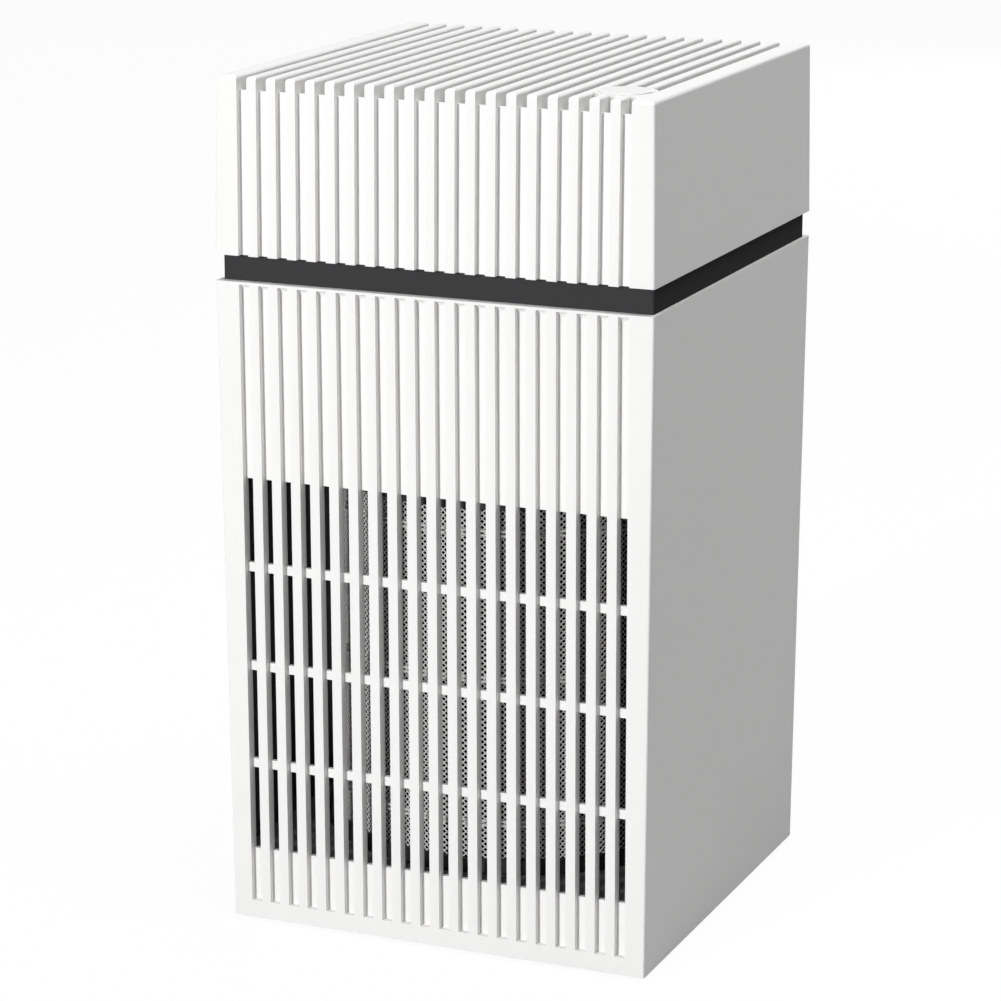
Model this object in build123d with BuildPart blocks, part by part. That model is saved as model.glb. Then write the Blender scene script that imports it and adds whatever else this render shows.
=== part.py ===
from build123d import *
import os
from math import atan2, cos, radians, sin

# A square tower air purifier that stands on a table. Air enters through ribbed windows in
# the front and back of the lower housing, passes a drum filter from outside to inside, is
# drawn up by a fan and leaves through the slotted top of the head.
# Millimetres. +Z is up, the front is -Y, and the origin is under the middle of the feet.

# Case
case_width = 205.0  # square plan at its widest, either side of the neck
base_height = 32.7  # bottom edge of the case to the floor that the filter stands over
filter_height = 181.0  # filter bay, floor to fan deck
fan_bay = 82.3  # fan deck to the shoulder of the lower housing
neck_gap = 11.6  # height of dark neck that shows
head_height = 78.4
lower_draft = 2.2  # each side, narrower at the bottom
head_draft = 1.1  # each side, narrower at the top
side_wall = 3.5
rib_wall = 5.1  # front and back walls, measured over the ribs
edge_round = 1.0  # upright edges
top_round = 1.7  # top edges of the head

# Ribs, grooves and windows
groove_count = 20
groove_width = 4.8
groove_depth = 2.9
groove_margin = 11.3  # plain strip beside the outer grooves
groove_foot = 8.1  # plain strip under the lower grooves
groove_head = 1.2  # plain strip above the lower grooves
slot_end_depth = 6.4  # depth of the top slots where they cut the front and back walls
grille_depth = 10.0  # depth of the top ribs
rib_round = 1.2  # rounding along the top ribs
brace_width = 4.0  # cross braces under the top ribs
brace_height = 6.0
brace_spread = 64.0
window_drop = 6.7  # fan deck down to the top of the windows
bar_height = 4.2  # bridging bars between the windows
bar_pitch = 46.2
bar_steps = (-1, 0, 1)

# Neck
band_front = 4.2  # set back of the neck at the front and back
band_side = 1.8  # set back of the neck at the sides
spigot = 8.0  # reach into the lower housing and into the head
spigot_fit = 0.45
neck_wall = 2.5
gusset_thick = 3.0
catch_width = 13.0  # snap catches that hold the head
catch_height = 2.4
catch_reach = 1.6
catch_rise = 4.5
catch_spread = 100.0
catch_fit = 0.5

# Power button and its board
button_groove = -2  # the button stands over this groove, counted back from the right
button_setback = 24.0  # front face to the middle of the button
button_d = 23.4
button_gap = 0.3
button_proud = 0.5
button_chamfer = 0.3
button_dish = 0.6  # hollow for the finger
button_rim = 1.0
button_skin = 2.2
button_flange = 1.3  # reach and height of the flange that keeps the button in its collar
button_travel = 0.8
collar_wall = 1.75
collar_foot_wall = 2.2
collar_length = 18.0
stem_d = 6.0
switch_side = 6.0
switch_height = 4.0
plunger_d = 3.4
plunger_show = 1.6
board_drop = 27.0  # top of the head down to the board
board_thick = 1.6
board_margin = 5.0
board_post_d = 6.0
board_post_back = 20.0  # button axis to the rear posts
board_post_front = 10.5

# Screws
screw_d = 3.0
screw_head_d = 6.0
screw_head = 1.6
cross_width = 0.9  # cross recess in the screw heads
cross_reach = 0.6  # part of the head that the cross spans
cross_depth = 0.9
screw_bite = 8.0
screw_fit = 0.1
small_screw_d = 2.0
small_head_d = 3.8
boss_side = 12.0  # square bosses moulded into the walls
boss_height = 12.0
boss_root = 1.2  # how far a boss runs into its wall

# Base, feet and filter door
cover_inset = 0.6
cover_thick = 3.0
floor_thick = 2.5
base_fit = 0.3
collar_ring = 6.0  # thickness of the ring that takes the door
foot_proud = 1.5
foot_d = 16.0
foot_chamfer = 0.5
foot_recess = 1.0
foot_inset = 25.5  # case edge to the middle of a foot
door_gap = 0.5
door_thick = 3.0
door_rim = 4.0
lug_count = 4
lug_angle = 12.0
lug_reach = 2.4
lug_height = 3.0
lug_rise = 17.0
lug_gap = 0.4
door_twist = 25.0
grip_d = 88.0
grip_depth = 16.0
grip_bar = 14.0
grip_wall = 2.0

# Power inlet
inlet_groove = -3  # counted back from the right, seen from the front
inlet_rise = 14.0
inlet_pad = 11.0  # half height of the plain pad round the inlet
inlet_pad_grooves = 1  # grooves stopped short each side of the inlet
jack_d = 8.0
jack_flange_d = 12.0
jack_flange = 1.2
jack_length = 16.0
jack_bore_d = 5.5
jack_bore = 10.0
jack_pin_d = 2.0
jack_pin = 8.0
nut_across = 10.6
nut_thick = 3.0

# Filter
filter_gap = 6.0  # end caps to the front and back walls
filter_pass = 1.6  # end caps to the base opening
filter_rest = 0.3
cap_height = 6.0  # lip of the bottom cap, over the pleats and up the core
top_cap_height = 11.5  # lip of the top cap, which shows at the top of the windows
cap_floor = 2.0
cap_lip = 2.7
net_thick = 0.8
hoop_proud = 1.2
hoop_height = 3.0
hoop_pitch = 67.0
core_d = 103.0
core_wall = 4.0
pleat_count = 60
pleat_sheet = 8.0  # radial thickness of the folded sheet
layer_gap = 0.3
gasket_thick = 1.5
gasket_width = 8.0

# Fan deck and motor mount
deck_thick = 3.0
deck_fit = 0.4
deck_screw_spread = 80.0
inlet_d = 100.0
bell_wall = 2.0
bell_height = 9.0
guard_ring = 2.2
guard_pitch = 11.5
guard_rings = 3
guard_spokes = 3
guard_hub_d = 18.0
duct_gap = 6.3  # duct to the front and back walls
duct_wall = 2.5
post_d = 10.0
post_overlap = 1.5
vane_count = 13
vane_height = 14.0
vane_thick = 2.0
vane_sweep = 24.0
hub_d = 60.0
hub_floor = 3.0
hub_wall = 2.0

# Motor
rotor_d = 52.8
rotor_height = 24.0
rotor_wall = 1.5
rotor_drop = 4.0
magnet_thick = 2.4
air_gap = 0.6
stator_height = 13.0
stator_drop = 8.0
slot_count = 9
slot_angle = 26.0
slot_mouth = 6.0
tooth_tip = 1.8
stator_back = 3.4
winding_proud = 1.5
winding_gap = 0.25
winding_angle_gap = 2.0
bearing_d = 16.0
bearing_width = 5.0
tube_wall = 2.0
tube_length = 24.5
shaft_d = 5.0
shaft_fit = 0.04
press_gap = 0.03

# Impeller
tip_gap = 14.0  # blade tips to the duct
eye_gap = 1.5
eye_overlap = 3.0
eye_lip = 4.0
shroud_rise = 9.0
shroud_thick = 2.0
blade_count = 9
blade_thick = 2.0
blade_sweep = 46.0
blade_bow = 3.2
backplate = 2.0
backplate_drop = 5.0
hub_skin = 2.0
nose_round = 6.0

# Levels
z_base = foot_proud
z_floor = z_base + base_height
z_deck = z_floor + filter_height
z_shoulder = z_deck + fan_bay
z_head = z_shoulder + neck_gap
z_top = z_head + head_height
z_cover = z_base + cover_inset
z_cover_top = z_cover + cover_thick
z_boss_top = z_cover_top + boss_height
z_deck_top = z_deck + deck_thick
z_seat = z_shoulder - spigot
z_hub = z_seat - vane_height
z_bell = z_deck_top + bell_height
z_board = z_top - board_drop
lap = 1.0  # overrun of cutters and of joined bodies

# Plan sizes
case_half = case_width / 2
base_half = case_half - lower_draft
top_half = case_half - head_draft
lower_height = z_shoulder - z_base


def lower_face(z):
    """Half width of the lower housing at a height."""
    return base_half + lower_draft * (z - z_base) / lower_height


def head_face(z):
    """Half width of the head at a height."""
    return case_half - head_draft * (z - z_head) / head_height


def tapered_block(z_low, x_low, y_low, z_high, x_high, y_high):
    """Four-sided block with drafted faces, given its half widths at two heights."""
    with BuildPart() as block:
        with BuildSketch(Plane.XZ):
            Polygon((-x_low, z_low), (x_low, z_low), (x_high, z_high), (-x_high, z_high), align=None)
        extrude(amount=2 * max(y_low, y_high), both=True)
        with BuildSketch(Plane.YZ):
            Polygon((-y_low, z_low), (y_low, z_low), (y_high, z_high), (-y_high, z_high), align=None)
        extrude(amount=2 * max(x_low, x_high), both=True, mode=Mode.INTERSECT)
    return block.part


def ring_sector(inner_r, outer_r, middle, span):
    """Face between two radii, over an angle."""
    start = middle - span / 2
    first = (cos(radians(start)), sin(radians(start)))
    last = (cos(radians(start + span)), sin(radians(start + span)))
    with BuildLine() as outline:
        CenterArc((0, 0), outer_r, start, span)
        Line((outer_r * last[0], outer_r * last[1]), (inner_r * last[0], inner_r * last[1]))
        CenterArc((0, 0), inner_r, start, span)
        Line((inner_r * first[0], inner_r * first[1]), (outer_r * first[0], outer_r * first[1]))
    make_face(outline.edges())


def ring(outer_r, inner_r):
    """Plain annulus."""
    Circle(outer_r)
    Circle(inner_r, mode=Mode.SUBTRACT)


def corners(x, y):
    """The four mirror images of a point."""
    return [(sx * x, sy * y) for sx in (-1, 1) for sy in (-1, 1)]


groove_pitch = (case_width - 2 * groove_margin - groove_width) / (groove_count - 1)
groove_x = [(i - (groove_count - 1) / 2) * groove_pitch for i in range(groove_count)]
window_low = z_floor
window_high = z_deck - window_drop
window_mid = (window_low + window_high) / 2
bar_levels = [window_mid + step * bar_pitch for step in bar_steps]
row_lows = [window_low] + [level + bar_height / 2 for level in bar_levels]
row_highs = [level - bar_height / 2 for level in bar_levels] + [window_high]
inlet_x = groove_x[inlet_groove]
z_inlet = z_base + inlet_rise
y_inlet = lower_face(z_inlet) - jack_flange
base_screw_x = base_half - side_wall - boss_side / 2
base_screw_y = base_half - rib_wall - boss_side / 2
base_screws_at = corners(base_screw_x, base_screw_y)
deck_screw_x = lower_face(z_deck) - side_wall - boss_side / 2
deck_screws_at = corners(deck_screw_x, deck_screw_spread / 2)
boss_plan = boss_side + 2 * boss_root
screw_hole_r = screw_d / 2 + screw_fit


def lower_groove(side, z_low):
    """Section of one groove in the lower housing, with its round run-out at the top."""
    z_high = z_shoulder - groove_head
    bend = z_high - groove_depth
    face_low = lower_face(z_low)
    face_high = lower_face(z_high)
    chord = groove_depth * cos(radians(45))
    with BuildLine() as outline:
        Polyline(
            (side * face_high, z_high),
            (side * (face_high + lap), z_high),
            (side * (face_low + lap), z_low),
            (side * (face_low - groove_depth), z_low),
            (side * (face_high - groove_depth), bend),
        )
        ThreePointArc(
            (side * (face_high - groove_depth), bend),
            (side * (face_high - chord), bend + chord),
            (side * face_high, z_high),
        )
    make_face(outline.edges())


# Lower housing: one moulding, open at the top and the bottom
lower_body = tapered_block(z_base, base_half, base_half, z_shoulder, case_half, case_half)
lower_bore = tapered_block(
    z_base - lap,
    lower_face(z_base - lap) - side_wall,
    lower_face(z_base - lap) - rib_wall,
    z_shoulder + lap,
    lower_face(z_shoulder + lap) - side_wall,
    lower_face(z_shoulder + lap) - rib_wall,
)
pad_reach = (inlet_pad_grooves + 0.5) * groove_pitch
pad_x = [x for x in groove_x if abs(x - inlet_x) < pad_reach]
clear_x = [x for x in groove_x if abs(x - inlet_x) > pad_reach]
groove_runs = [
    (-1, z_base + groove_foot, groove_x),
    (1, z_base + groove_foot, clear_x),
    (1, z_inlet + inlet_pad, pad_x),
]
with BuildPart() as lower_housing:
    add(lower_body)
    fillet(lower_housing.edges().filter_by(Axis.Z, tolerance=2), edge_round)
    add(lower_bore, mode=Mode.SUBTRACT)
    for run_side, run_low, run_x in groove_runs:
        with BuildSketch(*[Plane.YZ.offset(x) for x in run_x]):
            lower_groove(run_side, run_low)
            for row_low, row_high in zip(row_lows, row_highs):
                with Locations((run_side * case_half, (row_low + row_high) / 2)):
                    Rectangle(4 * rib_wall, row_high - row_low)
        extrude(amount=groove_width / 2, both=True, mode=Mode.SUBTRACT)
    with BuildSketch(Plane.XY.offset(z_cover_top)):
        with Locations(*base_screws_at):
            Rectangle(boss_plan, boss_plan)
    extrude(amount=boss_height)
    with BuildSketch(Plane.XY.offset(z_deck)):
        with Locations(*deck_screws_at):
            Rectangle(boss_plan, boss_side)
    extrude(amount=-boss_height)
    with BuildSketch(Plane.XY.offset(z_base)):
        with Locations(*base_screws_at, *deck_screws_at):
            Circle(screw_hole_r)
    extrude(amount=z_deck + lap, mode=Mode.SUBTRACT)
    with BuildSketch(Plane.XZ.offset(-y_inlet)):
        with Locations((inlet_x, z_inlet)):
            Circle(jack_flange_d / 2 + screw_fit)
    extrude(amount=-4 * lap, mode=Mode.SUBTRACT)
    with BuildSketch(Plane.XZ.offset(-case_half)):
        with Locations((inlet_x, z_inlet)):
            Circle(jack_d / 2 + screw_fit)
    extrude(amount=2 * rib_wall, mode=Mode.SUBTRACT)

# Power inlet: a barrel jack held in the back wall by its flange and nut
with BuildPart() as power_inlet:
    with BuildSketch(Plane.XZ.offset(-y_inlet)):
        with Locations((inlet_x, z_inlet)):
            Circle(jack_flange_d / 2)
    extrude(amount=-(jack_flange - screw_fit))
    with BuildSketch(Plane.XZ.offset(-y_inlet)):
        with Locations((inlet_x, z_inlet)):
            Circle(jack_d / 2)
    extrude(amount=jack_length)
    with BuildSketch(Plane.XZ.offset(-y_inlet - jack_flange)):
        with Locations((inlet_x, z_inlet)):
            Circle(jack_bore_d / 2)
            Circle(jack_pin_d / 2, mode=Mode.SUBTRACT)
    extrude(amount=jack_bore + jack_flange, mode=Mode.SUBTRACT)
    with BuildSketch(Plane.XZ.offset(-y_inlet - jack_flange)):
        with Locations((inlet_x, z_inlet)):
            Circle(jack_pin_d / 2)
    extrude(amount=jack_bore - jack_pin + jack_flange, mode=Mode.SUBTRACT)

y_nut = lower_face(z_inlet) - rib_wall - screw_fit
with BuildPart() as inlet_nut:
    with BuildSketch(Plane.XZ.offset(-y_nut)):
        with Locations((inlet_x, z_inlet)):
            RegularPolygon(nut_across / 2, 6, major_radius=False)
            Circle(jack_d / 2 + screw_fit / 2, mode=Mode.SUBTRACT)
    extrude(amount=nut_thick)

# Base frame: floor of the filter bay, with the ring that the filter door locks into
cap_r = lower_face(z_floor) - rib_wall - filter_gap
opening_r = cap_r + filter_pass
ring_r = opening_r + collar_ring
floor_x = lower_face(z_floor - floor_thick) - side_wall - base_fit
floor_y = lower_face(z_floor - floor_thick) - rib_wall - base_fit
cover_x = base_half - side_wall - base_fit
cover_y = base_half - rib_wall - base_fit
lug_r = opening_r - door_gap + lug_reach
lug_middles = [45 + i * 360 / lug_count for i in range(lug_count)]
z_lug = z_base + lug_rise
track_span = door_twist + lug_angle + 2 * lug_gap
entry_span = lug_angle + 2 * lug_gap
with BuildPart() as base_frame:
    with BuildSketch(Plane.XY.offset(z_floor)):
        Rectangle(2 * floor_x, 2 * floor_y)
        Circle(opening_r, mode=Mode.SUBTRACT)
    extrude(amount=-floor_thick)
    with BuildSketch(Plane.XY.offset(z_cover_top)):
        Rectangle(2 * cover_x, 2 * cover_y)
        Circle(ring_r, mode=Mode.INTERSECT)
        Circle(opening_r, mode=Mode.SUBTRACT)
    extrude(amount=z_floor - z_cover_top)
    with BuildSketch(Plane.XY.offset(z_boss_top)):
        with Locations(*base_screws_at):
            Circle(boss_side / 2 - base_fit)
    extrude(amount=z_floor - z_boss_top)
    with BuildSketch(Plane.XY.offset(z_boss_top)):
        with Locations(*base_screws_at):
            Circle(screw_hole_r)
    extrude(amount=screw_bite + lap, mode=Mode.SUBTRACT)
    with BuildSketch(Plane.XY.offset(z_lug - lug_gap)):
        for lug_middle in lug_middles:
            ring_sector(opening_r - lap, lug_r + lug_gap, lug_middle - door_twist / 2, track_span)
    extrude(amount=lug_height + 2 * lug_gap, mode=Mode.SUBTRACT)
    with BuildSketch(Plane.XY.offset(z_lug)):
        for lug_middle in lug_middles:
            ring_sector(opening_r - lap, lug_r + lug_gap, lug_middle - door_twist, entry_span)
    extrude(amount=-lug_rise, mode=Mode.SUBTRACT)

# Bottom cover: flat plate under the base, with the feet in shallow recesses
foot_half = base_half - foot_inset
feet_at = corners(foot_half, foot_half)
with BuildPart() as bottom_cover:
    with BuildSketch(Plane.XY.offset(z_cover)):
        Rectangle(2 * cover_x, 2 * cover_y)
        Circle(opening_r, mode=Mode.SUBTRACT)
    extrude(amount=cover_thick)
    with BuildSketch(Plane.XY.offset(z_cover)):
        for lug_middle in lug_middles:
            ring_sector(opening_r - lap, lug_r + lug_gap, lug_middle - door_twist, entry_span)
    extrude(amount=cover_thick, mode=Mode.SUBTRACT)
    with BuildSketch(Plane.XY.offset(z_cover)):
        with Locations(*feet_at):
            Circle(foot_d / 2 + screw_fit)
    extrude(amount=foot_recess, mode=Mode.SUBTRACT)
    with BuildSketch(Plane.XY.offset(z_cover)):
        with Locations(*base_screws_at):
            Circle(screw_head_d / 2 + screw_fit)
    extrude(amount=screw_head, mode=Mode.SUBTRACT)
    with BuildSketch(Plane.XY.offset(z_cover)):
        with Locations(*base_screws_at):
            Circle(screw_hole_r)
    extrude(amount=cover_thick, mode=Mode.SUBTRACT)

with BuildPart() as feet:
    with BuildSketch():
        with Locations(*feet_at):
            Circle(foot_d / 2)
    extrude(amount=z_cover + foot_recess)
    chamfer(feet.edges().group_by(Axis.Z)[0], foot_chamfer)


def screws(points, z_under_head, length, way, diameter=screw_d, head_d=screw_head_d):
    """A set of pan-head screws that point up (way 1) or down (way -1) from under their heads."""
    with BuildPart() as group:
        with BuildSketch(Plane.XY.offset(z_under_head)):
            with Locations(*points):
                Circle(diameter / 2)
        extrude(amount=way * length)
        with BuildSketch(Plane.XY.offset(z_under_head)):
            with Locations(*points):
                Circle(head_d / 2)
        extrude(amount=-way * screw_head)
        with BuildSketch(Plane.XY.offset(z_under_head - way * screw_head)):
            with Locations(*points):
                Rectangle(cross_reach * head_d, cross_width)
                Rectangle(cross_width, cross_reach * head_d)
        extrude(amount=way * cross_depth, mode=Mode.SUBTRACT)
    return group


z_base_head = z_cover + screw_head
base_screws = screws(base_screws_at, z_base_head, z_boss_top + screw_bite - z_base_head, 1)

# Filter door: round bottom door with a grip bar, locked by four lugs
door_r = opening_r - door_gap
with BuildPart() as filter_door:
    with BuildSketch(Plane.XY.offset(z_cover)):
        Circle(door_r)
    extrude(amount=door_thick)
    with BuildSketch(Plane.XY.offset(z_cover)):
        ring(door_r, door_r - door_rim)
    extrude(amount=z_floor - z_cover)
    with BuildSketch(Plane.XY.offset(z_cover)):
        Circle(grip_d / 2 + grip_wall)
    extrude(amount=grip_depth + grip_wall)
    with BuildSketch(Plane.XY.offset(z_cover)):
        Circle(grip_d / 2)
        Rectangle(grip_d + 2 * grip_wall, grip_bar, mode=Mode.SUBTRACT)
    extrude(amount=grip_depth, mode=Mode.SUBTRACT)
    with BuildSketch(Plane.XY.offset(z_lug)):
        for lug_middle in lug_middles:
            ring_sector(door_r - door_rim / 2, lug_r, lug_middle, lug_angle)
    extrude(amount=lug_height)

# Filter: end caps, outer net with hoops, pleated sheet and inner core
z_cap = z_floor + filter_rest
z_media = z_cap + cap_floor
z_gasket = z_deck - gasket_thick
z_media_top = z_gasket - cap_floor
net_r = cap_r - cap_lip
core_r = core_d / 2
core_bore_r = core_r - core_wall
z_media_mid = (z_media + z_media_top) / 2
with BuildPart() as filter_cap_bottom:
    with BuildSketch(Plane.XY.offset(z_cap)):
        Circle(cap_r)
    extrude(amount=cap_floor)
    with BuildSketch(Plane.XY.offset(z_cap)):
        ring(cap_r, net_r + layer_gap)
    extrude(amount=cap_height)
    with BuildSketch(Plane.XY.offset(z_cap)):
        ring(core_bore_r - layer_gap, core_bore_r - cap_lip)
    extrude(amount=cap_height)

with BuildPart() as filter_cap_top:
    with BuildSketch(Plane.XY.offset(z_gasket)):
        ring(cap_r, core_bore_r - cap_lip)
    extrude(amount=-cap_floor)
    with BuildSketch(Plane.XY.offset(z_gasket)):
        ring(cap_r, net_r + layer_gap)
    extrude(amount=-top_cap_height)
    with BuildSketch(Plane.XY.offset(z_gasket)):
        ring(core_bore_r - layer_gap, core_bore_r - cap_lip)
    extrude(amount=-cap_height)

with BuildPart() as filter_gasket:
    with BuildSketch(Plane.XY.offset(z_gasket)):
        ring(net_r, net_r - gasket_width)
    extrude(amount=gasket_thick)

with BuildPart() as filter_net:
    with BuildSketch(Plane.XY.offset(z_media)):
        ring(net_r, net_r - net_thick)
    extrude(amount=z_media_top - z_media)
    for step in bar_steps:
        with BuildSketch(Plane.XY.offset(z_media_mid + step * hoop_pitch - hoop_height / 2)):
            ring(net_r + hoop_proud, net_r - net_thick)
        extrude(amount=hoop_height)

pleat_peak = net_r - net_thick - layer_gap
pleat_root = core_r + layer_gap


def pleats(peak, root):
    """Star-shaped outline of the folds."""
    outline = []
    for i in range(2 * pleat_count):
        radius = root if i % 2 else peak
        angle = radians(i * 180 / pleat_count)
        outline.append((radius * cos(angle), radius * sin(angle)))
    return outline


with BuildPart() as filter_media:
    with BuildSketch(Plane.XY.offset(z_media)):
        Polygon(*pleats(pleat_peak, pleat_root + pleat_sheet), align=None)
        Polygon(*pleats(pleat_peak - pleat_sheet, pleat_root), align=None, mode=Mode.SUBTRACT)
    extrude(amount=z_media_top - z_media)

with BuildPart() as filter_core:
    with BuildSketch(Plane.XY.offset(z_media)):
        ring(core_r, core_bore_r)
    extrude(amount=z_media_top - z_media)

# Fan deck: closes the filter bay, with a finger guard and a bell mouth for the fan
deck_x = lower_face(z_deck) - side_wall - deck_fit
deck_y = lower_face(z_deck) - rib_wall - deck_fit
inlet_r = inlet_d / 2
duct_r = lower_face(z_deck) - rib_wall - duct_gap
post_r = duct_r + post_d / 2 - post_overlap
posts_at = corners(post_r * cos(radians(45)), post_r * sin(radians(45)))
with BuildPart() as fan_deck:
    with BuildSketch(Plane.XY.offset(z_deck)):
        Rectangle(2 * deck_x, 2 * deck_y)
        Circle(inlet_r, mode=Mode.SUBTRACT)
        for step in range(1, guard_rings + 1):
            Circle(inlet_r - step * guard_pitch + guard_ring)
            Circle(inlet_r - step * guard_pitch, mode=Mode.SUBTRACT)
        Circle(guard_hub_d / 2)
        with PolarLocations(0, guard_spokes):
            Rectangle(2 * inlet_r + lap, guard_ring)
        with Locations(*posts_at, *deck_screws_at):
            Circle(screw_hole_r, mode=Mode.SUBTRACT)
    extrude(amount=deck_thick)
    with BuildSketch(Plane.XY.offset(z_deck_top)):
        ring(inlet_r + bell_wall, inlet_r)
    extrude(amount=bell_height)
    with BuildSketch(Plane.XY.offset(z_deck_top)):
        with Locations(*deck_screws_at):
            Circle(boss_side / 2 - deck_fit)
            Circle(screw_hole_r, mode=Mode.SUBTRACT)
    extrude(amount=screw_bite)

z_deck_screw = z_deck - boss_height
deck_screws = screws(deck_screws_at, z_deck_screw, boss_height + deck_thick + screw_bite, 1)
mount_screws = screws(posts_at, z_deck, deck_thick + screw_bite, 1)

# Motor mount: duct round the fan, stator vanes, and the hub that carries the motor
hub_r = hub_d / 2
bearing_r = bearing_d / 2
shaft_r = shaft_d / 2
tube_r = bearing_r + tube_wall
duct_bore_r = duct_r - duct_wall
vane_root = hub_r - hub_wall / 2
vane_tip = duct_bore_r + duct_wall / 2


def swept_blade(inner_r, outer_r, sweep, bow, thick):
    """Curved blade section of even thickness between two radii."""
    tip = (outer_r * cos(radians(sweep)), outer_r * sin(radians(sweep)))
    across = atan2(tip[1], tip[0] - inner_r)
    normal = (-sin(across), cos(across))
    middle = ((inner_r + tip[0]) / 2 - bow * normal[0], tip[1] / 2 - bow * normal[1])
    shift = (thick * normal[0], thick * normal[1])
    with BuildLine() as outline:
        ThreePointArc((inner_r, 0), middle, tip)
        Line(tip, (tip[0] + shift[0], tip[1] + shift[1]))
        ThreePointArc(
            (tip[0] + shift[0], tip[1] + shift[1]),
            (middle[0] + shift[0], middle[1] + shift[1]),
            (inner_r + shift[0], shift[1]),
        )
        Line((inner_r + shift[0], shift[1]), (inner_r, 0))
    make_face(outline.edges())


with BuildSketch() as vane:
    swept_blade(vane_root, vane_tip, vane_sweep, -blade_bow, vane_thick)

with BuildPart() as motor_mount:
    with BuildSketch(Plane.XY.offset(z_hub)):
        with PolarLocations(0, vane_count):
            add(vane.sketch)
    extrude(amount=vane_height)
    with BuildSketch(Plane.XY.offset(z_deck_top)):
        ring(duct_r, duct_bore_r)
        with Locations(*posts_at):
            Circle(post_d / 2)
        Circle(duct_bore_r, mode=Mode.SUBTRACT)
    extrude(amount=z_seat - z_deck_top)
    with BuildSketch(Plane.XY.offset(z_hub)):
        ring(hub_r, hub_r - hub_wall)
    extrude(amount=vane_height)
    with BuildSketch(Plane.XY.offset(z_hub)):
        Circle(hub_r)
        Circle(bearing_r - tube_wall, mode=Mode.SUBTRACT)
    extrude(amount=hub_floor)
    with BuildSketch(Plane.XY.offset(z_hub)):
        ring(tube_r, bearing_r)
    extrude(amount=-tube_length)
    with BuildSketch(Plane.XY.offset(z_deck_top)):
        with Locations(*posts_at):
            Circle(screw_hole_r)
    extrude(amount=screw_bite + lap, mode=Mode.SUBTRACT)
    with BuildSketch(Plane.XY.offset(z_seat)):
        with Locations(*posts_at):
            Circle(screw_hole_r)
    extrude(amount=-(screw_bite + lap), mode=Mode.SUBTRACT)

# Motor: a fixed stator inside a spinning cup
rotor_r = rotor_d / 2
z_rotor = z_hub - rotor_drop - rotor_height
z_stator = z_hub - stator_drop - stator_height
magnet_r = rotor_r - rotor_wall
stator_r = magnet_r - magnet_thick - air_gap
slot_in = tube_r + stator_back
slot_out = stator_r - tooth_tip
slot_middles = [i * 360 / slot_count for i in range(slot_count)]
winding_angle = slot_angle - winding_angle_gap
with BuildPart() as motor_stator:
    with BuildSketch(Plane.XY.offset(z_stator)):
        ring(stator_r, tube_r + press_gap)
    extrude(amount=stator_height)
    with BuildSketch(Plane.XY.offset(z_stator)):
        for slot_middle in slot_middles:
            ring_sector(slot_in, slot_out, slot_middle, slot_angle)
        for slot_middle in slot_middles:
            ring_sector(slot_out - lap, stator_r + lap, slot_middle, slot_mouth)
    extrude(amount=stator_height, mode=Mode.SUBTRACT)

with BuildPart() as motor_windings:
    with BuildSketch(Plane.XY.offset(z_stator - winding_proud)):
        for slot_middle in slot_middles:
            ring_sector(slot_in + winding_gap, slot_out - winding_gap, slot_middle, winding_angle)
    extrude(amount=stator_height + 2 * winding_proud)

z_bearing_low = z_hub - tube_length
z_bearing_high = z_hub - bearing_width
with BuildPart() as motor_bearings:
    for z_bearing in (z_bearing_low, z_bearing_high):
        with BuildSketch(Plane.XY.offset(z_bearing)):
            ring(bearing_r - press_gap, shaft_r + shaft_fit)
        extrude(amount=bearing_width)

with BuildPart() as rotor_cup:
    with BuildSketch(Plane.XY.offset(z_rotor)):
        Circle(rotor_r)
        Circle(shaft_r, mode=Mode.SUBTRACT)
    extrude(amount=rotor_wall)
    with BuildSketch(Plane.XY.offset(z_rotor)):
        ring(rotor_r, magnet_r)
    extrude(amount=rotor_height)

with BuildPart() as rotor_magnet:
    with BuildSketch(Plane.XY.offset(z_stator)):
        ring(magnet_r - press_gap, magnet_r - magnet_thick)
    extrude(amount=stator_height)

with BuildPart() as motor_shaft:
    with BuildSketch(Plane.XY.offset(z_rotor)):
        Circle(shaft_r - press_gap)
    extrude(amount=z_hub + hub_floor - z_rotor)

# Impeller: backward-curved blades between a shroud and a back plate, on a hub over the rotor
blade_tip_r = duct_bore_r - tip_gap
eye_r = inlet_r + bell_wall + eye_gap
z_lip = z_bell - eye_overlap
z_back = z_hub - backplate_drop
impeller_hub_bore = rotor_r + press_gap
impeller_hub_r = impeller_hub_bore + hub_skin
z_shroud_in = z_lip + eye_lip
z_shroud_out = z_shroud_in + shroud_rise
with BuildSketch() as blade:
    swept_blade(eye_r + shroud_thick / 2, blade_tip_r, blade_sweep, blade_bow, blade_thick)

with BuildPart() as blade_set:
    with BuildSketch(Plane.XY.offset(z_lip)):
        with PolarLocations(0, blade_count):
            add(blade.sketch)
    extrude(amount=z_back - z_lip)
    with BuildSketch(Plane.XZ):
        Polygon(
            (eye_r, z_shroud_in - shroud_thick / 2),
            (blade_tip_r, z_shroud_out - shroud_thick / 2),
            (blade_tip_r, z_back - backplate / 2),
            (eye_r, z_back - backplate / 2),
            align=None,
        )
    revolve(axis=Axis.Z, mode=Mode.INTERSECT)

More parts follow.
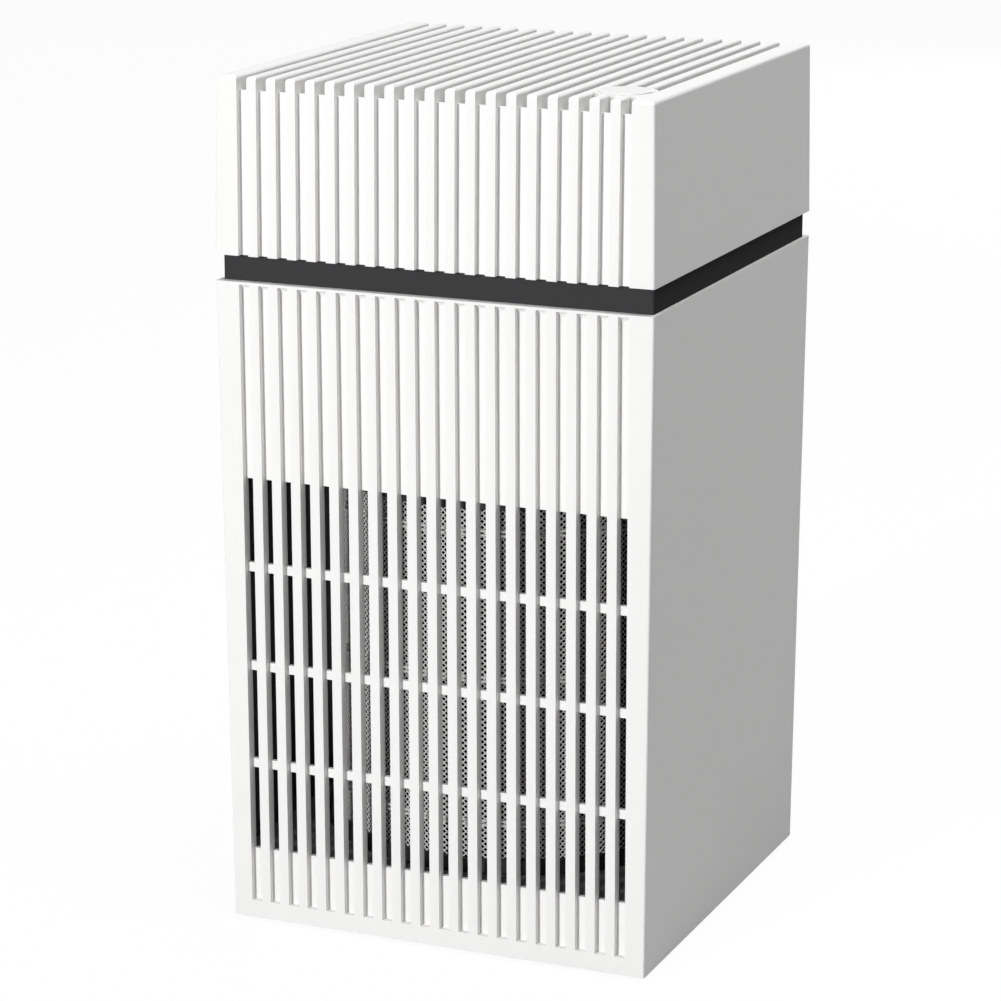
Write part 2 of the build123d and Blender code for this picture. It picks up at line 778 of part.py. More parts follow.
with BuildPart() as impeller:
    with BuildSketch(Plane.XY.offset(z_rotor - hub_skin)):
        Circle(impeller_hub_r)
    extrude(amount=z_back - z_rotor + hub_skin)
    fillet(impeller.edges().group_by(Axis.Z)[0], nose_round)
    with BuildSketch(Plane.XY.offset(z_back)):
        Circle(blade_tip_r)
    extrude(amount=-backplate)
    with BuildSketch(Plane.XY.offset(z_rotor)):
        Circle(impeller_hub_bore)
    extrude(amount=rotor_height, mode=Mode.SUBTRACT)
    with BuildSketch(Plane.XZ):
        Polygon(
            (eye_r, z_lip),
            (eye_r + shroud_thick, z_lip),
            (eye_r + shroud_thick, z_shroud_in - shroud_thick),
            (blade_tip_r, z_shroud_out - shroud_thick),
            (blade_tip_r, z_shroud_out),
            (eye_r, z_shroud_in),
            align=None,
        )
    revolve(axis=Axis.Z)
    add(blade_set.part)

# Neck: dark frame between the two shells, screwed to the motor mount
spigot_x = case_half - side_wall - spigot_fit
spigot_y = case_half - rib_wall - spigot_fit
neck_bore_x = spigot_x - neck_wall
neck_bore_y = spigot_y - neck_wall
gusset_span = 2 * post_r - post_d
catch_z = z_head + catch_rise
catches_at = [(side * spigot_x, end * catch_spread / 2) for side in (-1, 1) for end in (-1, 1)]
with BuildPart() as neck_ring:
    with BuildSketch(Plane.XY.offset(z_shoulder)):
        Rectangle(2 * (case_half - band_side), 2 * (case_half - band_front))
    extrude(amount=neck_gap)
    fillet(neck_ring.edges().filter_by(Axis.Z), edge_round)
    with BuildSketch(Plane.XY.offset(z_seat)):
        Rectangle(2 * spigot_x, 2 * spigot_y)
    extrude(amount=neck_gap + 2 * spigot)
    with BuildSketch(Plane.XY.offset(z_seat)):
        Rectangle(2 * neck_bore_x, 2 * neck_bore_y)
    extrude(amount=neck_gap + 2 * spigot, mode=Mode.SUBTRACT)
    with BuildSketch(Plane.XY.offset(z_seat)):
        Rectangle(2 * neck_bore_x + lap, 2 * neck_bore_y + lap)
        with Locations(Location((0, 0, 0), (0, 0, 45))):
            Rectangle(gusset_span, gusset_span, mode=Mode.SUBTRACT)
        with Locations(*posts_at):
            Circle(screw_hole_r, mode=Mode.SUBTRACT)
    extrude(amount=gusset_thick)
    with BuildSketch(Plane.XY.offset(catch_z - catch_fit / 2)):
        with Locations(*catches_at):
            Rectangle(4 * neck_wall, catch_width + catch_fit)
    extrude(amount=catch_height + catch_fit, mode=Mode.SUBTRACT)

neck_screws = screws(posts_at, z_seat + gusset_thick, gusset_thick + screw_bite, -1)

# Head shell: grooves up the front and back run into slots across the top
button_x = groove_x[button_groove]
button_y = -(top_half - button_setback)
bore_r = button_d / 2 + button_gap
collar_r = bore_r + collar_wall
collar_web = groove_x[-1] + groove_width / 2 + rib_round - button_x  # closes the last slot in front
flange_r = bore_r + button_flange
foot_r = flange_r + button_gap + collar_foot_wall
z_ceiling = z_top - grille_depth
z_flange = z_ceiling - lap
board_posts_at = [
    (groove_x[button_groove - 3] + groove_pitch / 2, button_y + board_post_back),
    (groove_x[button_groove] + groove_pitch / 2, button_y + board_post_back),
    (groove_x[button_groove - 3] + groove_pitch / 2, button_y - board_post_front),
]
with BuildSketch() as slot_profile:
    with BuildLine():
        Polyline(
            (groove_width / 2 + rib_round, lap),
            (-groove_width / 2 - rib_round, lap),
            (-groove_width / 2 - rib_round, 0),
        )
        RadiusArc((-groove_width / 2 - rib_round, 0), (-groove_width / 2, -rib_round), rib_round)
        Polyline(
            (-groove_width / 2, -rib_round),
            (-groove_width / 2, -slot_end_depth),
            (groove_width / 2, -slot_end_depth),
            (groove_width / 2, -rib_round),
        )
        RadiusArc((groove_width / 2, -rib_round), (groove_width / 2 + rib_round, 0), rib_round)
        Line((groove_width / 2 + rib_round, 0), (groove_width / 2 + rib_round, lap))
    make_face()

head_body = tapered_block(z_head, case_half, case_half, z_top, top_half, top_half)
head_bore = tapered_block(
    z_head - lap,
    head_face(z_head - lap) - side_wall,
    head_face(z_head - lap) - rib_wall,
    z_ceiling,
    head_face(z_ceiling) - side_wall,
    head_face(z_ceiling) - rib_wall,
)
with BuildPart() as head_shell:
    add(head_body)
    fillet(head_shell.edges().filter_by(Axis.Z, tolerance=2), edge_round)
    fillet(head_shell.edges().group_by(Axis.Z)[-1], top_round)
    add(head_bore, mode=Mode.SUBTRACT)
    with BuildSketch(*[Plane.YZ.offset(x) for x in groove_x]):
        for side in (-1, 1):
            low_face = side * head_face(z_head - lap)
            high_face = side * head_face(z_top + lap)
            depth = side * groove_depth
            Polygon(
                (low_face + side * lap, z_head - lap),
                (low_face - depth, z_head - lap),
                (high_face - depth, z_top + lap),
                (high_face + side * lap, z_top + lap),
                align=None,
            )
    extrude(amount=groove_width / 2, both=True, mode=Mode.SUBTRACT)
    with BuildSketch(Plane.XZ):
        with Locations(*[(x, z_top) for x in groove_x]):
            add(slot_profile.sketch)
    extrude(amount=case_width, both=True, mode=Mode.SUBTRACT)
    with BuildSketch(Plane.XZ):
        with Locations(*[(x, z_ceiling) for x in groove_x]):
            Rectangle(groove_width, 2 * (grille_depth - slot_end_depth + lap))
    extrude(amount=head_face(z_ceiling) - rib_wall, both=True, mode=Mode.SUBTRACT)
    with BuildSketch(Plane.XY.offset(z_ceiling - brace_height / 2)):
        with GridLocations(0, brace_spread, 1, 2):
            Rectangle(2 * (head_face(z_ceiling) - side_wall) + lap, brace_width)
    extrude(amount=brace_height)
    with BuildSketch(Plane.XY.offset(catch_z)):
        with Locations(*[(x * (head_face(catch_z) - side_wall) / spigot_x, y) for x, y in catches_at]):
            Rectangle(2 * catch_reach, catch_width)
    extrude(amount=catch_height)
    with BuildSketch(Plane.XY.offset(z_top)):
        with Locations((button_x, button_y)):
            Circle(collar_r)
            Rectangle(collar_web, collar_r, align=(Align.MIN, Align.MAX))
    extrude(amount=-grille_depth)
    with BuildSketch(Plane.XY.offset(z_ceiling)):
        with Locations((button_x, button_y)):
            Circle(foot_r)
    extrude(amount=-(collar_length - grille_depth))
    with BuildSketch(Plane.XY.offset(z_board)):
        with Locations(*board_posts_at):
            Circle(board_post_d / 2)
    extrude(amount=z_ceiling + lap - z_board)
    with BuildSketch(Plane.XY.offset(z_top)):
        with Locations((button_x, button_y)):
            Circle(bore_r)
    extrude(amount=-collar_length, mode=Mode.SUBTRACT)
    with BuildSketch(Plane.XY.offset(z_flange)):
        with Locations((button_x, button_y)):
            Circle(flange_r + button_gap)
    extrude(amount=-collar_length, mode=Mode.SUBTRACT)
    with BuildSketch(Plane.XY.offset(z_board)):
        with Locations(*board_posts_at):
            Circle(small_screw_d / 2 + screw_fit / 2)
    extrude(amount=screw_bite, mode=Mode.SUBTRACT)

# Power button, its switch and the control board under it
z_cap_top = z_top + button_proud
z_skirt = z_flange - button_gap - button_flange
dish_half = button_d / 2 - button_rim
dish_r = (dish_half**2 + button_dish**2) / (2 * button_dish)
z_plunger = z_board + switch_height + plunger_show
with BuildPart() as button_cap:
    with BuildSketch(Plane.XY.offset(z_cap_top)):
        with Locations((button_x, button_y)):
            Circle(button_d / 2)
    extrude(amount=z_skirt - z_cap_top)
    chamfer(button_cap.edges().group_by(Axis.Z)[-1], button_chamfer)
    with BuildSketch(Plane.XY.offset(z_skirt)):
        with Locations((button_x, button_y)):
            Circle(flange_r)
    extrude(amount=button_flange)
    with BuildSketch(Plane.XY.offset(z_cap_top - button_skin)):
        with Locations((button_x, button_y)):
            Circle(button_d / 2 - button_skin)
            Circle(stem_d / 2, mode=Mode.SUBTRACT)
    extrude(amount=z_skirt - z_cap_top, mode=Mode.SUBTRACT)
    with BuildSketch(Plane.XY.offset(z_plunger)):
        with Locations((button_x, button_y)):
            Circle(stem_d / 2)
    extrude(amount=z_cap_top - button_skin - z_plunger)
    with Locations((button_x, button_y, z_cap_top - button_dish + dish_r)):
        Sphere(dish_r, mode=Mode.SUBTRACT)

with BuildPart() as switch_plunger:
    with BuildSketch(Plane.XY.offset(z_plunger)):
        with Locations((button_x, button_y)):
            Circle(plunger_d / 2)
    extrude(amount=-(plunger_show + switch_height / 2))

with BuildPart() as tact_switch:
    with BuildSketch(Plane.XY.offset(z_board)):
        with Locations((button_x, button_y)):
            Rectangle(switch_side, switch_side)
    extrude(amount=switch_height)
    with BuildSketch(Plane.XY.offset(z_board + switch_height)):
        with Locations((button_x, button_y)):
            Circle(plunger_d / 2 + shaft_fit)
    extrude(amount=-(switch_height / 2 + button_travel + button_gap), mode=Mode.SUBTRACT)

board_left = board_posts_at[0][0] - board_margin
board_right = button_x + foot_r
board_back = board_posts_at[0][1] + board_margin
board_front = board_posts_at[2][1] - board_margin
with BuildPart() as control_board:
    with BuildSketch(Plane.XY.offset(z_board)):
        with Locations(((board_left + board_right) / 2, (board_back + board_front) / 2)):
            Rectangle(board_right - board_left, board_back - board_front)
        with Locations(*board_posts_at):
            Circle(small_screw_d / 2 + screw_fit, mode=Mode.SUBTRACT)
    extrude(amount=-board_thick)

z_board_under = z_board - board_thick
board_screw_length = board_thick + screw_bite - lap
board_screws = screws(board_posts_at, z_board_under, board_screw_length, 1, small_screw_d, small_head_d)

pieces = {
    "lower_housing": lower_housing,
    "power_inlet": power_inlet,
    "inlet_nut": inlet_nut,
    "base_frame": base_frame,
    "bottom_cover": bottom_cover,
    "feet": feet,
    "base_screws": base_screws,
    "filter_door": filter_door,
    "filter_cap_bottom": filter_cap_bottom,
    "filter_cap_top": filter_cap_top,
    "filter_gasket": filter_gasket,
    "filter_net": filter_net,
    "filter_media": filter_media,
    "filter_core": filter_core,
    "fan_deck": fan_deck,
    "deck_screws": deck_screws,
    "mount_screws": mount_screws,
    "motor_mount": motor_mount,
    "motor_stator": motor_stator,
    "motor_windings": motor_windings,
    "motor_bearings": motor_bearings,
    "rotor_cup": rotor_cup,
    "rotor_magnet": rotor_magnet,
    "motor_shaft": motor_shaft,
    "impeller": impeller,
    "neck_ring": neck_ring,
    "neck_screws": neck_screws,
    "head_shell": head_shell,
    "button_cap": button_cap,
    "switch_plunger": switch_plunger,
    "tact_switch": tact_switch,
    "control_board": control_board,
    "board_screws": board_screws,
}
os.makedirs("parts", exist_ok=True)
for name, piece in pieces.items():
    piece.part.label = name
    export_step(piece.part, f"parts/{name}.step")
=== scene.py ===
from math import cos, pi, radians, sin, tan

import bmesh
import bpy
from mathutils import Matrix, Vector


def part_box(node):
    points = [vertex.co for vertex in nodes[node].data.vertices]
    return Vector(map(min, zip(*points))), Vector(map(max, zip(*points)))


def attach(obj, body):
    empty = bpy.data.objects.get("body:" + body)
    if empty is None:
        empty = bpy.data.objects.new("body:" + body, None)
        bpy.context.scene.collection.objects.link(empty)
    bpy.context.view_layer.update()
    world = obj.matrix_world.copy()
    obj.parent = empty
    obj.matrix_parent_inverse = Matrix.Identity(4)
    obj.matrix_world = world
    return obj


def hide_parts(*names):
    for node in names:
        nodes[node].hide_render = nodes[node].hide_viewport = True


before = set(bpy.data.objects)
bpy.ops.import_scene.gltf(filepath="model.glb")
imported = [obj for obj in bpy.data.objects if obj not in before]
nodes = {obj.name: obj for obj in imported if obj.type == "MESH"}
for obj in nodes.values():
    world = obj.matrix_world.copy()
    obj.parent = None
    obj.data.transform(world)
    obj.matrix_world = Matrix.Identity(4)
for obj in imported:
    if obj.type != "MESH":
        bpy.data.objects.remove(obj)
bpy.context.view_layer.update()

# Base: bottom cover and filter door in charcoal ABS, and a floor frame over them drawn mid grey, as
# painted light: lighter than the charcoal parts to stand in for light through the windows. The cover
# is screwed up through the housing into the frame, and the door turns in the frame's ring. A
# spark-eroded mould leaves a fine matt grain: the dark ABS shows no gloss, the grey very little.
MM = 0.001
ABS_IOR = 1.54


def hex_colour(code):
    """Linear colour for a shader socket, from an sRGB hex value."""
    channels = [int(code[i : i + 2], 16) / 255 for i in (1, 3, 5)]
    return [c / 12.92 if c <= 0.04045 else ((c + 0.055) / 1.055) ** 2.4 for c in channels] + [1.0]


def add_node(material, kind, settings, sockets):
    """One shader node with its settings, and a value or a link for each socket named."""
    tree = material.node_tree
    node = tree.nodes.new(kind)
    for setting, value in settings.items():
        setattr(node, setting, value)
    for socket, value in sockets.items():
        if isinstance(value, bpy.types.NodeSocket):
            tree.links.new(value, node.inputs[socket])
        else:
            node.inputs[socket].default_value = value
    return node


def new_material(name):
    """An empty node material and its output node."""
    material = bpy.data.materials.new(name)
    material.use_nodes = True
    material.node_tree.nodes.clear()
    return material, add_node(material, "ShaderNodeOutputMaterial", {}, {})


def grained(name, colour, cloud_colour, roughness, grain_mm, grain_depth_mm, sockets):
    """A surface with faint clouding in its colour, an even grain and slightly soft edges."""
    # A grain that is too fine to show, such as a mould's, is drawn as coarse as it needs to show.
    cloud_mm = 45
    cloud_detail = 3
    grain_detail = 2
    grain_strength = 0.5
    roughness_spread = 0.05
    edge_round_mm = 0.15
    edge_samples = 4
    material, output = new_material(name)
    place = add_node(material, "ShaderNodeTexCoord", {}, {}).outputs["Object"]
    cloud = add_node(
        material,
        "ShaderNodeTexNoise",
        {},
        {"Vector": place, "Scale": 1 / (cloud_mm * MM), "Detail": cloud_detail},
    )
    grain = add_node(
        material,
        "ShaderNodeTexNoise",
        {},
        {"Vector": place, "Scale": 1 / (grain_mm * MM), "Detail": grain_detail},
    )
    tint = add_node(
        material,
        "ShaderNodeMix",
        {"data_type": "RGBA"},
        {"Factor": cloud.outputs["Fac"], "A": hex_colour(colour), "B": hex_colour(cloud_colour)},
    )
    matt = add_node(
        material,
        "ShaderNodeMapRange",
        {},
        {
            "Value": grain.outputs["Fac"],
            "To Min": roughness - roughness_spread,
            "To Max": roughness + roughness_spread,
        },
    )
    edge = add_node(material, "ShaderNodeBevel", {"samples": edge_samples}, {"Radius": edge_round_mm * MM})
    bump = add_node(
        material,
        "ShaderNodeBump",
        {},
        {
            "Height": grain.outputs["Fac"],
            "Distance": grain_depth_mm * MM,
            "Strength": grain_strength,
            "Normal": edge.outputs["Normal"],
        },
    )
    grain_sockets = {
        "Base Color": tint.outputs["Result"],
        "Roughness": matt.outputs["Result"],
        "Normal": bump.outputs["Normal"],
    }
    shader = add_node(material, "ShaderNodeBsdfPrincipled", {}, {**grain_sockets, **sockets})
    material.node_tree.links.new(shader.outputs["BSDF"], output.inputs["Surface"])
    return material


def finish_nodes(material, *names):
    """Gives CAD pieces their material."""
    for name in names:
        nodes[name].data.materials.clear()
        nodes[name].data.materials.append(material)


charcoal_abs = grained(
    "charcoal_abs_moulded",
    colour="#3B3B3C",
    cloud_colour="#3F3F40",
    roughness=0.6,
    grain_mm=0.9,
    grain_depth_mm=0.02,
    sockets={"IOR": ABS_IOR, "Specular IOR Level": 0.0},
)
# Painted light: the frame's mid grey stands in for light that reaches it through the windows.
painted_light_frame_abs = grained(
    "painted_light_frame_abs_moulded",
    colour="#6C6C6D",
    cloud_colour="#707071",
    roughness=0.6,
    grain_mm=0.9,
    grain_depth_mm=0.02,
    sockets={"IOR": ABS_IOR, "Specular IOR Level": 0.1},
)
finish_nodes(charcoal_abs, "bottom_cover", "filter_door")
finish_nodes(painted_light_frame_abs, "base_frame")

# Feet: four black rubber discs, pressed into recesses of the bottom cover. Moulded rubber is
# nearly black and very matt.
black_rubber = grained(
    "black_rubber_moulded",
    colour="#1A1A1A",
    cloud_colour="#212121",
    roughness=0.78,
    grain_mm=0.7,
    grain_depth_mm=0.03,
    sockets={"IOR": 1.52},
)
finish_nodes(black_rubber, "feet")

# Screws: zinc-plated steel pan heads that hold base, deck, motor mount, neck and control board.
# Zinc plate is a bluish grey metal with a slightly cloudy shine.
zinc_plate = grained(
    "zinc_plated_steel",
    colour="#B4B8BC",
    cloud_colour="#A3A8AD",
    roughness=0.34,
    grain_mm=0.5,
    grain_depth_mm=0.004,
    sockets={"Metallic": 1.0},
)
finish_nodes(zinc_plate, "base_screws", "deck_screws", "mount_screws", "neck_screws", "board_screws")

# Filter end caps: discs cast from black polyurethane round the ends of the pleats, so that no
# air slips past. The cast skin is smooth and slightly shiny.
cast_polyurethane = grained(
    "black_polyurethane_cast",
    colour="#141414",
    cloud_colour="#1A1A1A",
    roughness=0.55,
    grain_mm=2.0,
    grain_depth_mm=0.03,
    sockets={"IOR": 1.5},
)
finish_nodes(cast_polyurethane, "filter_cap_bottom", "filter_cap_top")

# Filter gasket: closed-cell foam ring that is squeezed between the filter and the fan deck. Where
# foam is cut, its cells show as small dark pits.
foam = grained(
    "black_foam_closed_cell",
    colour="#202021",
    cloud_colour="#2B2B2C",
    roughness=0.9,
    grain_mm=1.2,
    grain_depth_mm=0.25,
    sockets={"IOR": 1.45},
)
finish_nodes(foam, "filter_gasket")

# Filter pleats and core: paper carrying activated carbon, folded round a core of bonded carbon
# grains. Both are dull, nearly black and coarse.
carbon_paper = grained(
    "carbon_filter_paper",
    colour="#191919",
    cloud_colour="#222222",
    roughness=0.92,
    grain_mm=1.0,
    grain_depth_mm=0.12,
    sockets={"IOR": 1.45, "Specular IOR Level": 0.1},
)
carbon_core = grained(
    "carbon_grain_bonded",
    colour="#1C1C1C",
    cloud_colour="#262626",
    roughness=0.9,
    grain_mm=2.2,
    grain_depth_mm=0.6,
    sockets={"IOR": 1.5},
)
finish_nodes(carbon_paper, "filter_media")
finish_nodes(carbon_core, "filter_core")

# Filter sleeve: light grey polypropylene net round the pleats, with three hoops of two ridges each.
# Extruded net is two layers of flat strands, one slanting each way, that fuse where they cross. The
# plastic has a slight waxy shine.
hoop_proud = 1.2 * MM
hoop_height = 3.0 * MM
hoop_pitch = 67.0 * MM
hoop_ridge = hoop_height / 3
hoop_shoulder = 0.7 * hoop_proud
hoop_steps = 128
strand_pitch = 2.6 * MM
strand_width = 0.5 * MM
strand_thick = 0.36 * MM
strand_slope = radians(45)
strand_steps = 20
layer_step = 0.9 * strand_thick  # the layers fuse by a tenth where they cross
sleeve_low, sleeve_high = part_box("filter_net")
sleeve_r = sleeve_high.x - hoop_proud
sleeve_height = sleeve_high.z - sleeve_low.z
sleeve_mid = (sleeve_low.z + sleeve_high.z) / 2
strand_count = round(2 * pi * sleeve_r / strand_pitch)
strand_turn = sleeve_height / tan(strand_slope) / sleeve_r


def round_point(radius, angle, height):
    """A point at a radius, an angle and a height."""
    return radius * cos(angle), radius * sin(angle), height


def add_strand(shape, start, way, outer_r):
    """One flat strand that climbs the sleeve to one side."""
    half_angle = strand_width / sin(strand_slope) / sleeve_r / 2
    section = ((-1, 0), (1, 0), (1, 1), (-1, 1))
    rows = []
    for step in range(strand_steps + 1):
        share = step / strand_steps
        angle = start + way * share * strand_turn
        height = sleeve_low.z + share * sleeve_height
        corners = [
            round_point(outer_r - depth * strand_thick, angle + side * half_angle, height)
            for side, depth in section
        ]
        rows.append([shape.verts.new(corner) for corner in corners])
    for lower, upper in zip(rows, rows[1:]):
        for i in range(len(section)):
            j = (i + 1) % len(section)
            shape.faces.new((lower[i], lower[j], upper[j], upper[i]))
    shape.faces.new(rows[0][::-1])
    shape.faces.new(rows[-1])


def add_ridge(shape, profile):
    """A closed ring swept from a profile of radius and height."""
    rings = []
    for step in range(hoop_steps):
        angle = 2 * pi * step / hoop_steps
        rings.append([shape.verts.new(round_point(radius, angle, height)) for radius, height in profile])
    for step in range(hoop_steps):
        here, there = rings[step], rings[(step + 1) % hoop_steps]
        for i in range(len(profile)):
            j = (i + 1) % len(profile)
            shape.faces.new((here[i], there[i], there[j], here[j]))


net_shape = bmesh.new()
for strand in range(strand_count):
    start = 2 * pi * strand / strand_count
    add_strand(net_shape, start, 1, sleeve_r)
    add_strand(net_shape, start, -1, sleeve_r - layer_step)
for step in (-1, 0, 1):
    level = sleeve_mid + step * hoop_pitch
    for side in (-1, 1):
        centre = level + side * (hoop_height - hoop_ridge) / 2
        ridge_profile = [
            (sleeve_r - strand_thick, centre - hoop_ridge / 2),
            (sleeve_r + hoop_shoulder, centre - hoop_ridge / 2),
            (sleeve_r + hoop_proud, centre),
            (sleeve_r + hoop_shoulder, centre + hoop_ridge / 2),
            (sleeve_r - strand_thick, centre + hoop_ridge / 2),
        ]
        add_ridge(net_shape, ridge_profile)
net_mesh = bpy.data.meshes.new("filter_sleeve")
bmesh.ops.recalc_face_normals(net_shape, faces=net_shape.faces)
net_shape.to_mesh(net_mesh)
net_shape.free()
net_plastic = grained(
    "grey_polypropylene_net",
    colour="#CFCFCD",
    cloud_colour="#D7D7D5",
    roughness=0.5,
    grain_mm=1.5,
    grain_depth_mm=0.03,
    sockets={"IOR": 1.49},
)
net_mesh.materials.append(net_plastic)
filter_sleeve = bpy.data.objects.new("filter_sleeve", net_mesh)
bpy.context.scene.collection.objects.link(filter_sleeve)
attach(filter_sleeve, "case")
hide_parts("filter_net")

# Lower housing: one white ABS moulding with its ribs, matt from the grain of the mould. Its inside
# walls get a dark grey as painted shade, for the shade behind the windows, so only the filter shows.
white_abs_finish = {
    "colour": "#EDEDEC",
    "cloud_colour": "#EAEAE9",
    "roughness": 0.5,
    "grain_mm": 0.8,
    "grain_depth_mm": 0.012,
    "sockets": {"IOR": ABS_IOR, "Specular IOR Level": 0.2},
}
painted_shade_grey = "#2C2C2D"
side_wall = 3.5 * MM
rib_wall = 5.1 * MM
lower_draft = 2.2 * MM
painted_shade_overlap = 0.05 * MM
housing_painted_shade_abs = grained("white_abs_painted_shade_inside", **white_abs_finish)
housing_low, housing_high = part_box("lower_housing")
housing_place = add_node(housing_painted_shade_abs, "ShaderNodeTexCoord", {}, {}).outputs["Object"]
housing_spot = add_node(housing_painted_shade_abs, "ShaderNodeSeparateXYZ", {}, {"Vector": housing_place})
half_width = add_node(
    housing_painted_shade_abs,
    "ShaderNodeMapRange",
    {},
    {
        "Value": housing_spot.outputs["Z"],
        "From Min": housing_low.z,
        "From Max": housing_high.z,
        "To Min": housing_high.x - lower_draft,
        "To Max": housing_high.x,
    },
)
behind_walls = []
for axis, wall in (("X", side_wall), ("Y", rib_wall)):
    reach = add_node(
        housing_painted_shade_abs, "ShaderNodeMath", {"operation": "ABSOLUTE"}, {0: housing_spot.outputs[axis]}
    )
    depth = add_node(
        housing_painted_shade_abs,
        "ShaderNodeMath",
        {"operation": "SUBTRACT"},
        {0: half_width.outputs["Result"], 1: reach.outputs["Value"]},
    )
    behind = add_node(
        housing_painted_shade_abs,
        "ShaderNodeMath",
        {"operation": "GREATER_THAN"},
        {0: depth.outputs["Value"], 1: wall - painted_shade_overlap},
    )
    behind_walls.append(behind.outputs["Value"])
inside = add_node(
    housing_painted_shade_abs, "ShaderNodeMath", {"operation": "MULTIPLY"}, {0: behind_walls[0], 1: behind_walls[1]}
)
housing_shader = housing_painted_shade_abs.node_tree.nodes["Principled BSDF"]
moulded_colour = housing_shader.inputs["Base Color"].links[0].from_socket
# Painted shade: the inside walls turn dark grey, standing in for the shade inside the housing.
painted_shade_colour = add_node(
    housing_painted_shade_abs,
    "ShaderNodeMix",
    {"data_type": "RGBA"},
    {"Factor": inside.outputs["Value"], "A": moulded_colour, "B": hex_colour(painted_shade_grey)},
)
housing_painted_shade_abs.node_tree.links.new(painted_shade_colour.outputs["Result"], housing_shader.inputs["Base Color"])
finish_nodes(housing_painted_shade_abs, "lower_housing")

# Power inlet: barrel jack moulded from black nylon, held in the back wall by a nickel-plated brass
# nut. Nylon is smooth with a satin shine, and nickel plate is a bright, slightly warm metal.
black_nylon = grained(
    "black_nylon_moulded",
    colour="#161616",
    cloud_colour="#1C1C1C",
    roughness=0.42,
    grain_mm=0.6,
    grain_depth_mm=0.01,
    sockets={"IOR": 1.53},
)
nickel_plate = grained(
    "nickel_plated_brass",
    colour="#C4BEB2",
    cloud_colour="#B7B1A6",
    roughness=0.26,
    grain_mm=0.6,
    grain_depth_mm=0.003,
    sockets={"Metallic": 1.0},
)
finish_nodes(black_nylon, "power_inlet")
finish_nodes(nickel_plate, "inlet_nut")

# Fan deck and motor mount: charcoal ABS. The deck closes the filter bay, and the mount stands on
# it and carries the motor inside a ring of vanes.
finish_nodes(charcoal_abs, "fan_deck", "motor_mount")

# Motor: stacked sheet steel with enamelled copper coils inside a pressed steel cup with a ferrite
# ring, on a ground steel shaft in two ball bearings. Sheet steel is a dull grey, copper reddish and
# shiny, ground steel bright and ferrite nearly black.
sheet_steel = grained(
    "stator_sheet_steel",
    colour="#6E7176",
    cloud_colour="#5F6267",
    roughness=0.42,
    grain_mm=0.7,
    grain_depth_mm=0.02,
    sockets={"Metallic": 1.0},
)
copper_wire = grained(
    "enamelled_copper",
    colour="#B4653A",
    cloud_colour="#9C5430",
    roughness=0.3,
    grain_mm=0.8,
    grain_depth_mm=0.06,
    sockets={"Metallic": 1.0},
)
ground_steel = grained(
    "ground_steel",
    colour="#B9BBBE",
    cloud_colour="#AAADB1",
    roughness=0.28,
    grain_mm=0.4,
    grain_depth_mm=0.003,
    sockets={"Metallic": 1.0},
)
ferrite = grained(
    "sintered_ferrite",
    colour="#2B2B2D",
    cloud_colour="#353537",
    roughness=0.7,
    grain_mm=0.6,
    grain_depth_mm=0.03,
    sockets={"IOR": 2.0},
)
finish_nodes(sheet_steel, "motor_stator")
finish_nodes(copper_wire, "motor_windings")
finish_nodes(ground_steel, "motor_bearings", "rotor_cup", "motor_shaft")
finish_nodes(ferrite, "rotor_magnet")

# Impeller: one moulding of dark grey glass-filled nylon, pressed on to the rotor cup. The glass
# gives it a dry, slightly cloudy surface.
glass_nylon = grained(
    "grey_glass_filled_nylon",
    colour="#4A4A4C",
    cloud_colour="#545456",
    roughness=0.56,
    grain_mm=0.9,
    grain_depth_mm=0.03,
    sockets={"IOR": 1.54},
)
finish_nodes(glass_nylon, "impeller")

# Neck: charcoal ABS frame between the housing and the head, screwed to the motor mount. It is as
# matt as the base.
finish_nodes(charcoal_abs, "neck_ring")

# Head: white ABS moulding with the slotted top and the button's collar. It snaps on to the neck,
# and its mould has the same matt grain as the housing's.
white_abs = grained("white_abs_moulded", **white_abs_finish)
finish_nodes(white_abs, "head_shell")

# Power button: white ABS cap that slides in the head's collar. Its mould is polished, so it is a
# little shinier than the shells.
polished_abs = grained(
    "white_abs_polished",
    colour="#E4E4E3",
    cloud_colour="#E1E1E0",
    roughness=0.3,
    grain_mm=3.0,
    grain_depth_mm=0.004,
    sockets={"IOR": ABS_IOR, "Specular IOR Level": 0.2},
)
finish_nodes(polished_abs, "button_cap")

# Control board: glass-fibre laminate, screwed to posts of the head below the power button. Green
# solder mask covers it like a smooth lacquer.
solder_mask = grained(
    "green_solder_mask",
    colour="#1E5A36",
    cloud_colour="#22643C",
    roughness=0.35,
    grain_mm=1.5,
    grain_depth_mm=0.02,
    sockets={"IOR": 1.55},
)
finish_nodes(solder_mask, "control_board")

# Switch: body and plunger in the same black nylon as the inlet. The body is soldered to the control
# board, and the button presses the plunger into it.
finish_nodes(black_nylon, "tact_switch", "switch_plunger")

# Floor: plain pale sheet. It lights the object as pale grey paper does, and the camera sees it
# near white with the object's shadow on it.
floor_half = 8.0
floor_grey = "#B8B8B8"
floor_white = 0.95  # share of plain white that the camera sees
plain_white = hex_colour("#FFFFFF")


def shown_rays(material):
    """1 for the rays that show a surface itself: straight, in gloss or through glass."""
    rays = add_node(material, "ShaderNodeLightPath", {}, {})
    shown = rays.outputs["Is Camera Ray"]
    for kind in ("Is Glossy Ray", "Is Transmission Ray"):
        either = add_node(
            material, "ShaderNodeMath", {"operation": "MAXIMUM"}, {0: shown, 1: rays.outputs[kind]}
        )
        shown = either.outputs["Value"]
    return shown


